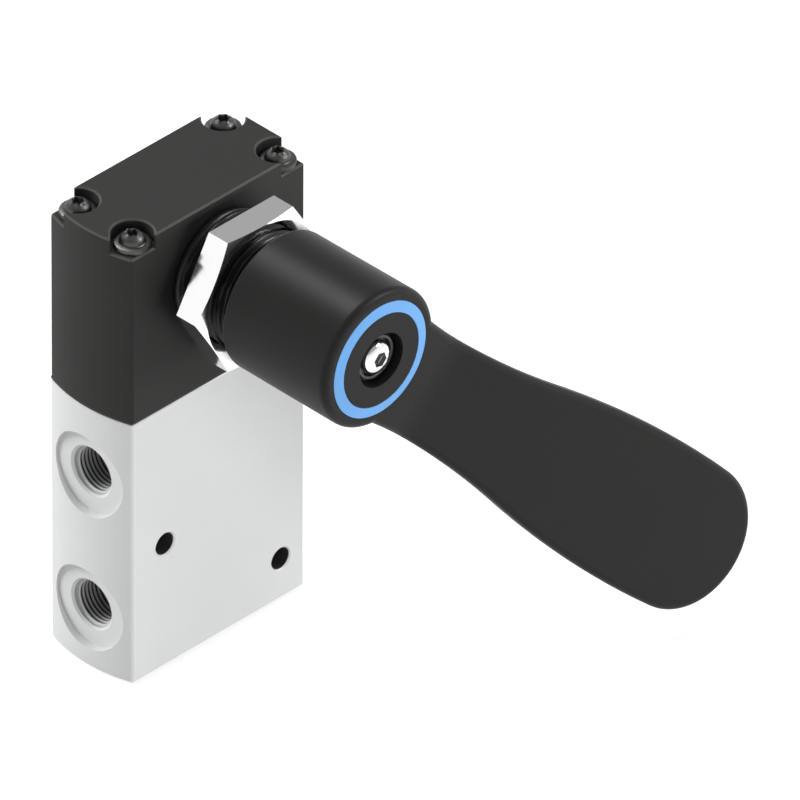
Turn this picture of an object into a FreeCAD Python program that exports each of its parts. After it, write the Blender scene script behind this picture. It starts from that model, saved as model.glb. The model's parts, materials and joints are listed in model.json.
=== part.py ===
import FreeCAD, Part
import math
import os
import Sketcher

# Hand lever air valve, 3/2-way, for panel mounting.
# Frame: origin at the centre of the valve body's bottom face, +Z up, +X across the wide face,
# and the lever stands in front of the face that looks along -Y.
# The spindle and everything on it are drawn in a turned frame whose z runs forward, out of the panel.

doc = FreeCAD.newDocument("HandLeverValve")
sheet = doc.addObject("Spreadsheet::Sheet", "Sizes")
Vector = FreeCAD.Vector
nodes = []


class Size:
    """A length or angle: its value, and the formula that ties it to the sheet."""

    def __init__(self, value, text):
        self.value = value
        self.text = text

    def __add__(self, other):
        other = as_size(other)
        return Size(self.value + other.value, f"({self.text} + {other.text})")

    def __sub__(self, other):
        other = as_size(other)
        return Size(self.value - other.value, f"({self.text} - {other.text})")

    def __mul__(self, other):
        other = as_size(other)
        return Size(self.value * other.value, f"({self.text} * {other.text})")

    def __truediv__(self, other):
        other = as_size(other)
        return Size(self.value / other.value, f"({self.text} / {other.text})")

    def __neg__(self):
        return Size(-self.value, f"(0 - {self.text})")


def as_size(value):
    return value if isinstance(value, Size) else Size(value, repr(value))


def root(size):
    return Size(math.sqrt(size.value), f"sqrt({size.text})")


def sine(angle):
    return Size(math.sin(math.radians(angle.value)), f"sin({angle.text} * 1deg)")


def cosine(angle):
    return Size(math.cos(math.radians(angle.value)), f"cos({angle.text} * 1deg)")


def size(alias, value, note):
    """Writes one driving dimension into the sheet and returns it."""
    row = size.rows + 1
    size.rows = row
    sheet.set(f"A{row}", alias)
    sheet.set(f"B{row}", str(value))
    sheet.set(f"C{row}", note)
    sheet.setAlias(f"B{row}", alias)
    return Size(value, f"Sizes.{alias}")


size.rows = 0

# Valve body and housing outline
body_width = size("body_width", 44.0, "across the two corner edges of the wide face")
body_depth = size("body_depth", 21.1, "front face to back face")
side_bulge = size("side_bulge", 1.85, "how far the left port face bows out")
body_height = size("body_height", 58.0, "aluminium body")
gasket_thickness = size("gasket_thickness", 0.4, "sheet between body and housing")
housing_height = size("housing_height", 39.2, "moulded housing above the gasket")
edge_break = size("edge_break", 0.3, "bevel on the body's edges")
housing_edge = size("housing_edge", 0.35, "bevel on the housing's edges")

# Ports, two on the bowed left face and one on the flat right face
port_low = size("port_low", 12.55, "height of the lowest port")
port_pitch = size("port_pitch", 14.95, "height step from port to port")
port_radius = size("port_radius", 4.864, "major radius of the G1/8 thread")
port_depth = size("port_depth", 8.5, "threaded depth")
port_bevel = size("port_bevel", 0.45, "bevel at the thread's mouth")
passage_radius = size("passage_radius", 2.3, "air passage behind each thread")
spot_radius = size("spot_radius", 8.7, "flat recess round each port")
spot_proud = size("spot_proud", 0.15, "left: that flat stands outside the corner edge")
spot_sunk = size("spot_sunk", 0.3, "right: that flat lies below the face")

# Through holes that fasten the body
hole_radius = size("hole_radius", 2.25, "clearance for an M4 screw")
hole_bevel = size("hole_bevel", 0.3, "bevel at the hole's mouth")
hole_left = size("hole_left", 13.6, "left hole, distance from the middle")
hole_left_height = size("hole_left_height", 27.2, "left hole, height")
hole_right = size("hole_right", 16.1, "right hole, distance from the middle")
hole_right_height = size("hole_right_height", 8.8, "right hole, height")

# Housing screws
screw_inset = size("screw_inset", 3.5, "screw axis to the faces of the corner")
screw_radius = size("screw_radius", 1.5, "M3 shank")
screw_gap = size("screw_gap", 0.2, "clearance round the shank in the housing")
thread_gap = size("thread_gap", 0.03, "clearance in a threaded seat")
screw_grip = size("screw_grip", 8.0, "thread engaged in the body")
screw_flange_radius = size("screw_flange_radius", 3.5, "flange under the screw's head")
screw_flange = size("screw_flange", 1.05, "flange thickness")
screw_dome_radius = size("screw_dome_radius", 2.45, "dome on the flange")
screw_dome = size("screw_dome", 1.95, "dome height")
pocket_radius = size("pocket_radius", 4.0, "corner pocket for the screw head")
pocket_depth = size("pocket_depth", 3.0, "pocket floor below the housing's top")

# Spool and its seals
bore_radius = size("bore_radius", 5.5, "bore that holds the seal stack")
bore_floor = size("bore_floor", 2.8, "metal left below the spring")
spring_bore_radius = size("spring_bore_radius", 4.0, "bore below the seal stack")
spool_radius = size("spool_radius", 3.5, "spool lands")
spool_waist = size("spool_waist", 2.3, "waist between the lands")
travel = size("travel", 4.0, "spool stroke")
stop_gap = size("stop_gap", 0.5, "spool to bore floor when pressed")
run_gap = size("run_gap", 0.05, "running clearance on a radius")
seat_gap = size("seat_gap", 0.03, "clearance of a seated ring")
seal_thickness = size("seal_thickness", 1.9, "seal, along the spool")
step_drop = size("step_drop", 4.9, "bore step below the lowest port")
overlap = size("overlap", 1.1, "land beyond its seal")
window_half = size("window_half", 1.3, "half the width of a window in a spacer")
spacer_wall = size("spacer_wall", 0.8, "wall of a spacer at its windows")
spacer_groove = size("spacer_groove", 4.6, "height of the groove round the windows")
bush_flange_radius = size("bush_flange_radius", 9.0, "guide bush flange, held by the housing")
bush_flange = size("bush_flange", 3.0, "guide bush flange thickness")
spring_wire = size("spring_wire", 0.6, "return spring wire")
spring_radius = size("spring_radius", 1.9, "return spring mean radius")
spring_pitch = size("spring_pitch", 2.2, "return spring pitch")
spring_pocket = size("spring_pocket", 9.0, "depth of the spring pocket in the spool")
tappet_wire = size("tappet_wire", 0.8, "tappet spring wire")
tappet_coil_radius = size("tappet_coil_radius", 4.5, "tappet spring mean radius")
tappet_pitch = size("tappet_pitch", 3.6, "tappet spring pitch")
end_gap = size("end_gap", 0.05, "gap at the ends of a spring or stack")

# Cam drive on the spindle
axis_drop = size("axis_drop", 14.8, "spindle axis below the housing's top")
front_wall = size("front_wall", 3.2, "housing wall behind the neck")
rear_wall = size("rear_wall", 4.0, "housing wall behind the spindle")
cam_radius = size("cam_radius", 8.0, "eccentric disc")
cam_thickness = size("cam_thickness", 5.0, "eccentric disc")
cam_shift = size("cam_shift", 0.3, "cam's middle in front of the spool axis")
cam_gap = size("cam_gap", 0.15, "cam to tappet at rest")
sweep_gap = size("sweep_gap", 0.4, "cavity wall beyond what turns in it")
tappet_head_radius = size("tappet_head_radius", 5.3, "flat head that the cam presses")
tappet_head = size("tappet_head", 2.8, "tappet head thickness")
detent_radius = size("detent_radius", 5.5, "disc with the two notches")
detent_thickness = size("detent_thickness", 3.2, "notched disc")
notch_radius = size("notch_radius", 1.0, "notch in the rim")
notch_depth = size("notch_depth", 0.4, "notch in the rim")
ball_radius = size("ball_radius", 1.4, "detent ball")
ball_gap = size("ball_gap", 0.05, "ball to rim")
ball_spring_wire = size("ball_spring_wire", 0.35, "detent spring wire")
ball_spring_radius = size("ball_spring_radius", 1.0, "detent spring mean radius")
ball_spring_pitch = size("ball_spring_pitch", 0.95, "detent spring pitch")
ball_spring_length = size("ball_spring_length", 4.0, "detent spring")
clip_radius = size("clip_radius", 4.4, "retaining clip")
clip_thickness = size("clip_thickness", 0.6, "retaining clip")
clip_groove = size("clip_groove", 2.3, "radius at the bottom of the clip's groove")
clip_mouth = size("clip_mouth", 3.6, "opening of the clip")

# Spindle
spindle_radius = size("spindle_radius", 4.0, "bearing diameter 8")
square_half = size("square_half", 2.8, "half the width across the square")
square_gap = size("square_gap", 0.03, "clearance on the square")
collar_radius = size("collar_radius", 5.6, "thrust collar")
thrust_gap = size("thrust_gap", 0.2, "collar to neck")
journal_radius = size("journal_radius", 2.75, "rear journal")
rear_bush_radius = size("rear_bush_radius", 4.25, "rear bush outside")
rear_bush_length = size("rear_bush_length", 2.7, "rear bush")
journal_short = size("journal_short", 0.2, "journal ends before the bush does")
bush_radius = size("bush_radius", 5.5, "bore of the neck")
seal_ring = size("seal_ring", 1.8, "spindle seal, along the spindle")
rear_sleeve = size("rear_sleeve", 7.7, "inner spindle bush")
front_sleeve = size("front_sleeve", 9.8, "outer spindle bush")

# Threaded neck and panel nut, measured forward of the wide face
neck_radius = size("neck_radius", 12.0, "M24 thread")
neck_spigot = size("neck_spigot", 10.5, "spigot held in the housing wall")
neck_relief = size("neck_relief", 0.7, "groove where the thread runs out, its depth and width")
neck_length = size("neck_length", 16.4, "neck end in front of the wide face")
neck_bevel = size("neck_bevel", 0.8, "bevel at the neck's end")
nut_across = size("nut_across", 28.6, "across the flats")
nut_thickness = size("nut_thickness", 5.0, "panel nut")
nut_stand = size("nut_stand", 5.85, "nut's back face in front of the wide face")
nut_face_radius = size("nut_face_radius", 16.0, "flat face inside the corner bevels")
nut_bevel_slope = size("nut_bevel_slope", 30.0, "degrees")
nut_countersink = size("nut_countersink", 0.6, "bevel at the nut's thread")

# Lever
lever_turn_rest = size("lever_turn_rest", 45.0, "degrees below the horizontal at rest")
hub_back = size("hub_back", 14.9, "hub's back edge in front of the wide face")
hub_front = size("hub_front", 41.45, "hub's front rim in front of the wide face")
hub_crown = size("hub_crown", 0.35, "hub's front face in front of that rim")
hub_radius = size("hub_radius", 14.05, "hub at the front")
hub_back_radius = size("hub_back_radius", 13.95, "hub at the back")
hub_round = size("hub_round", 1.5, "rounding of the front rim")
hub_back_round = size("hub_back_round", 0.6, "rounding of the back rim")
skirt_radius = size("skirt_radius", 12.5, "hollow that slips over the neck")
skirt_depth = size("skirt_depth", 2.0, "depth of that hollow")
socket_start = size("socket_start", 18.5, "square drive begins, in front of the wide face")
recess_radius = size("recess_radius", 5.5, "recess for the screw")
recess_depth = size("recess_depth", 3.0, "recess for the screw")
ring_outer = size("ring_outer", 11.7, "blue ring outside")
ring_inner = size("ring_inner", 9.55, "blue ring inside")
ring_depth = size("ring_depth", 1.2, "blue ring thickness")
ring_gap = size("ring_gap", 0.12, "line of shadow beside the blue ring")
blade_length = size("blade_length", 103.0, "lever's tip from the spindle axis")
blade_thickness = size("blade_thickness", 4.0, "lever blade")
blade_round = size("blade_round", 1.4, "rounding of the blade's edges")
bend_start = size("bend_start", 16.2, "where the blade leaves the hub's plane")
bend_radius = size("bend_radius", 21.7, "first bend, away from the panel")
bend_slope = size("bend_slope", 18.3, "degrees, steepest slope of the blade")
tip_slope = size("tip_slope", 8.0, "degrees, slope at the tip")
waist_half = size("waist_half", 10.2, "half the blade's width at its waist")
waist_place = size("waist_place", 21.0, "waist from the spindle axis")
waist_radius = size("waist_radius", 148.0, "radius of the waist's sides")
belly_half = size("belly_half", 14.7, "half the blade's greatest width")
belly_place = size("belly_place", 76.3, "greatest width from the spindle axis")

# Screw that holds the lever
clamp_shank = size("clamp_shank", 2.0, "M4 shank")
clamp_grip = size("clamp_grip", 8.0, "thread engaged in the spindle")
clamp_head_radius = size("clamp_head_radius", 3.35, "domed head")
clamp_head_wall = size("clamp_head_wall", 0.7, "straight wall under the dome")
clamp_dome = size("clamp_dome", 0.9, "rise of the dome")
washer_radius = size("washer_radius", 4.5, "washer outside")
washer_hole = size("washer_hole", 2.15, "washer inside")
washer_thickness = size("washer_thickness", 0.5, "washer")
doc.recompute()

# Sizes worked out from the driving ones
half_width = body_width / 2
half_depth = body_depth / 2
crown = half_width + side_bulge
bow_radius = (half_depth * half_depth + side_bulge * side_bulge) / (side_bulge * 2)
housing_base = body_height + gasket_thickness
axis_height = housing_base + housing_height - axis_drop
screw_x = half_width - screw_inset
screw_y = half_depth - screw_inset
ledge = housing_height - pocket_depth
seal_half = seal_thickness / 2
bore_step = port_low - step_drop
seal_heights = [
    bore_step + seal_half,
    port_low + port_pitch / 2,
    port_low + port_pitch * 3 / 2,
    port_low + port_pitch * 5 / 2,
]
stack_top = seal_heights[3] + seal_half
seat_radius = bore_radius - seat_gap
slide_radius = spool_radius + run_gap
spool_bottom = bore_floor + stop_gap + travel
spool_top = body_height - bush_flange
axis_rise = axis_height - housing_base
cavity_front = half_depth - front_wall
cavity_rear = half_depth - rear_wall
cam_front = cam_shift + cam_thickness / 2
cam_rear = cam_shift - cam_thickness / 2
detent_rear = cam_rear - detent_thickness
clip_front = detent_rear - end_gap
clip_rear = clip_front - clip_thickness
cam_throw = travel / (sine(lever_turn_rest) + cosine(lever_turn_rest))
cam_reach = cam_radius + cam_throw
cam_room = cam_reach + sweep_gap
detent_room = detent_radius + sweep_gap * 3
detent_zone = cam_rear - sweep_gap
tappet_top = axis_height - cam_radius + cam_throw * cosine(lever_turn_rest) - cam_gap
ball_out = detent_rear + detent_thickness / 2
ball_height = axis_height + detent_radius + ball_gap + ball_radius
ball_pocket_top = ball_height + ball_radius + ball_spring_length + end_gap * 2
wide_face = half_depth
neck_end = wide_face + neck_length
hub_back_out = wide_face + hub_back
hub_front_out = wide_face + hub_front
hub_face_out = hub_front_out + hub_crown
skirt_floor = hub_back_out + skirt_depth
socket_out = wide_face + socket_start
recess_floor = hub_face_out - recess_depth
spindle_front = recess_floor - seat_gap * 5


def find_plane(body, role):
    return [item for item in body.Origin.OriginFeatures if item.Role == role][0]


def new_body(label):
    body = doc.addObject("PartDesign::Body", label)
    body.Label = label
    return body


def add_sketch(body, name, role, offset=None):
    """A sketch on one of the body's own origin planes, moved along the plane's normal."""
    sketch = body.newObject("Sketcher::SketchObject", f"{body.Name}_{name}")
    sketch.AttachmentSupport = [(find_plane(body, role), "")]
    sketch.MapMode = "FlatFace"
    if offset is not None:
        sketch.AttachmentOffset = FreeCAD.Placement(Vector(0, 0, offset.value), FreeCAD.Rotation())
        sketch.setExpression(".AttachmentOffset.Base.z", offset.text)
    return sketch


def hold(sketch, terms, distance):
    """One dimension of the sketch, tied to the sheet."""
    index = sketch.addConstraint(Sketcher.Constraint(*terms, distance.value))
    sketch.setExpression(f"Constraints[{index}]", distance.text)


def tie_point(sketch, geometry, point, x, y):
    """Holds one point of the sketch at its distances from the sketch's origin."""
    hold(sketch, ("DistanceX", -1, 1, geometry, point), as_size(x))
    hold(sketch, ("DistanceY", -1, 1, geometry, point), as_size(y))


def arc_middle(start, end, radius, turn):
    """The middle of an arc from start to end that turns left (1) or right (-1)."""
    chord = end - start
    half = chord.Length / 2
    rise = radius - math.sqrt(max(radius * radius - half * half, 0.0))
    side = Vector(chord.y, -chord.x, 0).normalize()
    return start + chord * 0.5 + side * rise * turn


def trace(sketch, steps):
    """Draws a closed outline. A step is (x, y) for a straight side that ends there,
    or (x, y, radius, turn) for an arc that ends there. A half circle is held by its middle."""
    points = [(as_size(step[0]), as_size(step[1])) for step in steps]
    ends = []
    for number, step in enumerate(steps):
        start = Vector(points[number - 1][0].value, points[number - 1][1].value, 0)
        end = Vector(points[number][0].value, points[number][1].value, 0)
        if len(step) == 2:
            index = sketch.addGeometry(Part.LineSegment(start, end), False)
            ends.append((index, 1, 2))
            continue
        radius, turn = as_size(step[2]), step[3]
        middle = arc_middle(start, end, radius.value, turn)
        first, last = (start, end) if turn > 0 else (end, start)
        index = sketch.addGeometry(Part.Arc(first, middle, last), False)
        ends.append((index, 1, 2) if turn > 0 else (index, 2, 1))
        if radius.value * 2 - (end - start).Length > 1e-6:
            hold(sketch, ("Radius", index), radius)
        else:
            hold(sketch, ("DistanceY", -1, 1, index, 3), points[number][1])
    for number, (index, start_point, end_point) in enumerate(ends):
        following = ends[(number + 1) % len(ends)]
        sketch.addConstraint(
            Sketcher.Constraint("Coincident", index, end_point, following[0], following[1])
        )
        tie_point(sketch, index, end_point, points[number][0], points[number][1])
    return sketch


def add_circle(sketch, x, y, radius):
    x, y, radius = as_size(x), as_size(y), as_size(radius)
    circle = Part.Circle(Vector(x.value, y.value, 0), Vector(0, 0, 1), radius.value)
    index = sketch.addGeometry(circle, False)
    hold(sketch, ("Radius", index), radius)
    tie_point(sketch, index, 3, x, y)
    return sketch


def add_rectangle(sketch, left, right, low, high):
    return trace(sketch, [(left, low), (right, low), (right, high), (left, high)])


def extrude(body, kind, name, sketch, length=None, reverse=False, both=False):
    """A Pad or Pocket of the sketch, through everything where no length is given."""
    feature = body.newObject(f"PartDesign::{kind}", f"{body.Name}_{name}")
    feature.Profile = sketch
    feature.Reversed = reverse
    if both:
        feature.SideType = "Symmetric"
    if length is None:
        feature.Type = "ThroughAll"
    else:
        feature.Type = "Length"
        feature.Length = length.value
        feature.setExpression("Length", length.text)
    sketch.Visibility = False
    doc.recompute()
    return feature


def pad(body, name, sketch, length, **ways):
    return extrude(body, "Pad", name, sketch, length, **ways)


def pocket(body, name, sketch, length=None, **ways):
    """Cuts the sketch away, and makes sure that it met the solid."""
    before = body.Shape.Volume
    feature = extrude(body, "Pocket", name, sketch, length, **ways)
    if body.Shape.Volume >= before:
        raise RuntimeError(f"{feature.Name} cuts nothing")
    return feature


def turn_round(body, kind, name, sketch, axis="V_Axis"):
    """A Revolution or Groove of the sketch through a full turn."""
    before = body.Shape.Volume if kind == "Groove" else 0.0
    feature = body.newObject(f"PartDesign::{kind}", f"{body.Name}_{name}")
    feature.Profile = sketch
    feature.ReferenceAxis = (sketch, [axis])
    feature.Angle = 360
    sketch.Visibility = False
    doc.recompute()
    if kind == "Groove" and body.Shape.Volume >= before:
        raise RuntimeError(f"{feature.Name} cuts nothing")
    return feature


def turned(body, name, steps):
    """A turned piece: its half section, as distance from the axis and height, spun about z."""
    return turn_round(body, "Revolution", name, trace(add_sketch(body, name, "XZ_Plane"), steps))


def turned_cut(body, name, steps):
    return turn_round(body, "Groove", name, trace(add_sketch(body, name, "XZ_Plane"), steps))


def edge_names(shape, wanted):
    return [f"Edge{number}" for number, edge in enumerate(shape.Edges, 1) if wanted(edge)]


def dress(body, kind, name, wanted, amount):
    """A Fillet or Chamfer on the edges that wanted() picks."""
    base = body.Tip
    feature = body.newObject(f"PartDesign::{kind}", f"{body.Name}_{name}")
    feature.Base = (base, edge_names(base.Shape, wanted))
    quantity = "Radius" if kind == "Fillet" else "Size"
    setattr(feature, quantity, amount.value)
    feature.setExpression(quantity, amount.text)
    doc.recompute()
    return feature


def raise_to(item, height):
    """Lifts a piece to its height."""
    item.Placement = FreeCAD.Placement(Vector(0, 0, height.value), FreeCAD.Rotation())
    item.setExpression(".Placement.Base.z", height.text)


def lay_forward(item, with_lever=False):
    """Puts a piece on the spindle axis, with its z running forward along -Y.
    What turns with the lever has its x along the lever."""
    rotation = FreeCAD.Rotation(Vector(1, 0, 0), 90)
    if with_lever:
        rotation = rotation * FreeCAD.Rotation(Vector(0, 0, 1), -lever_turn_rest.value)
    item.Placement = FreeCAD.Placement(Vector(0, 0, axis_height.value), rotation)
    item.setExpression(".Placement.Base.z", axis_height.text)


def keep(item):
    nodes.append(item)
    return item


def group(label, pieces):
    """Identical pieces share one node."""
    compound = doc.addObject("Part::Compound", label)
    compound.Label = label
    compound.Links = pieces
    return keep(compound)


def bowed_outline(sketch):
    """Outline of body and housing seen from above: the left end bows out, the rest is flat."""
    return trace(
        sketch,
        [
            (half_width, -half_depth),
            (half_width, half_depth),
            (-half_width, half_depth),
            (-half_width, -half_depth, bow_radius, 1),
        ],
    )


def corners():
    return [(screw_x * sx, screw_y * sy) for sx in (-1, 1) for sy in (-1, 1)]


def is_upright(edge):
    """A straight edge along z."""
    run = edge.Vertexes[-1].Point - edge.Vertexes[0].Point
    return abs(run.x) + abs(run.y) < 1e-6 and abs(run.z) > 1e-6


def is_outside(edge):
    """An edge whose ends all lie on the four outer faces."""
    spots = [vertex.Point for vertex in edge.Vertexes]
    return all(
        abs(spot.y) > half_depth.value - 1e-6 or abs(spot.x) > half_width.value - 1e-6
        for spot in spots
    )


def lies_at(edge, height):
    return max(abs(vertex.Z - height) for vertex in edge.Vertexes) < 1e-6


def make_valve_body():
    body = keep(new_body("valve_body"))
    pad(body, "block", bowed_outline(add_sketch(body, "outline", "XY_Plane")), body_height)
    top = body_height.value
    dress(
        body,
        "Chamfer",
        "edges",
        lambda edge: is_upright(edge) or lies_at(edge, 0.0) or lies_at(edge, top),
        edge_break,
    )
    left_flat = half_width + spot_proud
    right_flat = half_width - spot_sunk
    for number, (side, flat) in enumerate(((-1, left_flat), (1, right_flat), (-1, left_flat))):
        cut_port(body, f"port{number + 1}", side, flat, port_low + port_pitch * number)
    turned_cut(
        body,
        "spool_bore",
        [
            (0, bore_floor),
            (spring_bore_radius, bore_floor),
            (spring_bore_radius, bore_step),
            (bore_radius, bore_step),
            (bore_radius, spool_top),
            (bush_flange_radius + seat_gap, spool_top),
            (bush_flange_radius + seat_gap, body_height + 1),
            (0, body_height + 1),
        ],
    )
    sketch = add_sketch(body, "mounting", "XZ_Plane")
    add_circle(sketch, -hole_left, hole_left_height, hole_radius)
    add_circle(sketch, hole_right, hole_right_height, hole_radius)
    pocket(body, "mounting_holes", sketch, both=True)
    dress(body, "Chamfer", "hole_mouths", is_hole_mouth, hole_bevel)
    sketch = add_sketch(body, "tapped", "XY_Plane", body_height)
    for x, y in corners():
        add_circle(sketch, x, y, screw_radius + thread_gap)
    pocket(body, "tapped_holes", sketch, screw_grip + end_gap)


def is_hole_mouth(edge):
    """A mounting hole's round edge in the front or back face."""
    if not isinstance(edge.Curve, Part.Circle):
        return False
    face = abs(abs(edge.Curve.Center.y) - half_depth.value) < 1e-6
    return face and abs(edge.Curve.Radius - hole_radius.value) < 1e-6


def cut_port(body, name, side, flat, height):
    """Flat recess, bevelled thread bore and air passage, spun about the port's own axis."""
    profile = [
        (bore_radius - passage_radius / 2, 0),
        (bore_radius - passage_radius / 2, passage_radius),
        (flat - port_depth, passage_radius),
        (flat - port_depth, port_radius),
        (flat - port_bevel, port_radius),
        (flat, port_radius + port_bevel),
        (flat, spot_radius),
        (crown + side_bulge, spot_radius),
        (crown + side_bulge, 0),
    ]
    sketch = add_sketch(body, name, "XZ_Plane")
    trace(sketch, [(out * side, height + up) for out, up in profile])
    start = Vector(0, height.value, 0)
    line = sketch.addGeometry(Part.LineSegment(start, start + Vector(side * crown.value, 0, 0)), True)
    tie_point(sketch, line, 1, 0, height)
    tie_point(sketch, line, 2, crown * side, height)
    turn_round(body, "Groove", f"{name}_cut", sketch, "Axis0")


def make_gasket():
    body = keep(new_body("housing_gasket"))
    sketch = bowed_outline(add_sketch(body, "outline", "XY_Plane"))
    add_circle(sketch, 0, 0, tappet_head_radius + sweep_gap)
    for x, y in corners():
        add_circle(sketch, x, y, screw_radius + screw_gap)
    pad(body, "sheet", sketch, gasket_thickness)
    raise_to(body, body_height)


def arch(sketch, half, low, centre):
    """An upright slot with a round top."""
    return trace(
        sketch,
        [(half, low), (half, centre), (-half, centre, half, 1), (-half, low)],
    )


def open_pocket(sketch, side_x, side_y):
    """Plan of a corner pocket: round behind the screw, and open to both faces of its corner."""
    slant = pocket_radius * root(as_size(0.5))
    spread = screw_inset
    turn = side_x * side_y
    near_x, far_x = screw_x - slant, screw_x + slant
    near_y, far_y = screw_y - slant, screw_y + slant
    outline = [
        (far_x + spread, near_y + spread),
        (far_x + spread, far_y + spread),
        (near_x + spread, far_y + spread),
        (near_x, far_y),
    ]
    steps = [(x * side_x, y * side_y) for x, y in outline]
    for x, y in ((near_x, near_y), (far_x, near_y)):
        steps.append((x * side_x, y * side_y, pocket_radius, turn))
    return trace(sketch, steps)


def is_housing_edge(edge):
    """The rims of the housing's top and of the pocket floors, and the upright outer edges."""
    if lies_at(edge, housing_height.value):
        return True
    return is_outside(edge) and (is_upright(edge) or lies_at(edge, ledge.value))


def make_housing():
    body = keep(new_body("actuator_housing"))
    pad(body, "block", bowed_outline(add_sketch(body, "outline", "XY_Plane")), housing_height)
    for number, (side_x, side_y) in enumerate(((-1, -1), (-1, 1), (1, -1), (1, 1))):
        sketch = add_sketch(body, f"pocket{number + 1}", "XY_Plane", housing_height)
        open_pocket(sketch, side_x, side_y)
        pocket(body, f"corner_pocket{number + 1}", sketch, pocket_depth)
    dress(body, "Chamfer", "edges", is_housing_edge, housing_edge)
    sketch = add_sketch(body, "screw_holes", "XY_Plane", housing_height)
    for x, y in corners():
        add_circle(sketch, x, y, screw_radius + screw_gap)
    pocket(body, "screw_bores", sketch)
    sketch = arch(add_sketch(body, "cam_room", "XZ_Plane", cavity_front), cam_room, -1, axis_rise)
    pocket(body, "cam_cavity", sketch, cavity_front - detent_zone)
    sketch = add_sketch(body, "detent_room", "XZ_Plane", detent_zone)
    arch(sketch, detent_room, -1, axis_rise)
    pocket(body, "detent_cavity", sketch, detent_zone + cavity_rear)
    sketch = add_sketch(body, "neck_seat", "XZ_Plane", half_depth)
    add_circle(sketch, 0, axis_rise, neck_spigot + thread_gap)
    pocket(body, "neck_hole", sketch, front_wall + end_gap)
    sketch = add_sketch(body, "rear_seat", "XZ_Plane", -cavity_rear)
    add_circle(sketch, 0, axis_rise, rear_bush_radius + seat_gap)
    pocket(body, "rear_bearing", sketch, rear_bush_length + end_gap)
    sketch = add_sketch(body, "ball_seat", "XY_Plane", axis_rise)
    add_circle(sketch, 0, -ball_out, ball_radius + run_gap)
    pocket(body, "ball_pocket", sketch, ball_pocket_top - axis_height, reverse=True)
    raise_to(body, housing_base)


def make_housing_screws():
    screws = []
    length = screw_grip + gasket_thickness + ledge
    for number, (x, y) in enumerate(corners()):
        screw = new_body(f"housing_screw_{number + 1}")
        turned(
            screw,
            "form",
            [
                (0, -length),
                (screw_radius, -length),
                (screw_radius, 0),
                (screw_flange_radius, 0),
                (screw_flange_radius, screw_flange),
                (screw_dome_radius, screw_flange),
                (screw_dome_radius, screw_flange + screw_dome / 3),
                (screw_dome_radius / 2, screw_flange + screw_dome),
                (0, screw_flange + screw_dome),
            ],
        )
        raise_to(screw, housing_base + ledge)
        screw.setExpression(".Placement.Base.x", x.text)
        screw.setExpression(".Placement.Base.y", y.text)
        screws.append(screw)
    group("housing_screws", screws)


def make_panel_neck():
    body = keep(new_body("panel_neck"))
    relief = neck_radius - neck_relief
    relief_end = wide_face + neck_relief
    turned(
        body,
        "form",
        [
            (bush_radius, cavity_front),
            (neck_spigot, cavity_front),
            (neck_spigot, wide_face),
            (relief, wide_face),
            (relief, wide_face + neck_relief / 2),
            (neck_radius, relief_end),
            (neck_radius, neck_end - neck_bevel),
            (neck_radius - neck_bevel, neck_end),
            (bush_radius, neck_end),
        ],
    )
    lay_forward(body)


def make_panel_nut():
    body = keep(new_body("panel_nut"))
    back = wide_face + nut_stand
    front = back + nut_thickness
    corner = nut_across / root(as_size(3.0))
    flat = nut_across / 2
    sketch = add_sketch(body, "hexagon", "XY_Plane", back)
    trace(
        sketch,
        [
            (corner, 0),
            (corner / 2, flat),
            (-corner / 2, flat),
            (-corner, 0),
            (-corner / 2, -flat),
            (corner / 2, -flat),
        ],
    )
    pad(body, "prism", sketch, nut_thickness)
    drop = (corner + 1 - nut_face_radius) * sine(nut_bevel_slope) / cosine(nut_bevel_slope)
    for name, face, side in (("front_bevel", front, -1), ("back_bevel", back, 1)):
        rim = [(nut_face_radius, face), (corner + 1, face), (corner + 1, face + drop * side)]
        turned_cut(body, name, rim)
    thread = neck_radius + run_gap
    turned_cut(
        body,
        "thread",
        [
            (0, back - 1),
            (thread + nut_countersink, back - 1),
            (thread + nut_countersink, back),
            (thread, back + nut_countersink),
            (thread, front - nut_countersink),
            (thread + nut_countersink, front),
            (thread + nut_countersink, front + 1),
            (0, front + 1),
        ],
    )
    lay_forward(body)


def blade_side(body):
    """Side view of the blade: level at the hub, bent forward, then easing off to the tip."""
    face = hub_front_out
    run_end = blade_length + blade_thickness
    bend_x = bend_start + bend_radius * sine(bend_slope)
    bend_z = face + bend_radius * (as_size(1.0) - cosine(bend_slope))
    sweep = (run_end - bend_x) / (sine(bend_slope) - sine(tip_slope))
    tip_z = bend_z + sweep * (cosine(tip_slope) - cosine(bend_slope))
    thick = blade_thickness
    steps = [
        (0, face),
        (0, face - thick),
        (bend_start, face - thick),
        (
            bend_x + thick * sine(bend_slope),
            bend_z - thick * cosine(bend_slope),
            bend_radius + thick,
            1,
        ),
        (
            run_end + thick * sine(tip_slope),
            tip_z - thick * cosine(tip_slope),
            sweep - thick,
            -1,
        ),
        (run_end, tip_z),
        (bend_x, bend_z, sweep, 1),
        (bend_start, face, bend_radius, -1),
    ]
    return trace(add_sketch(body, "side", "XZ_Plane"), steps)


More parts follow.
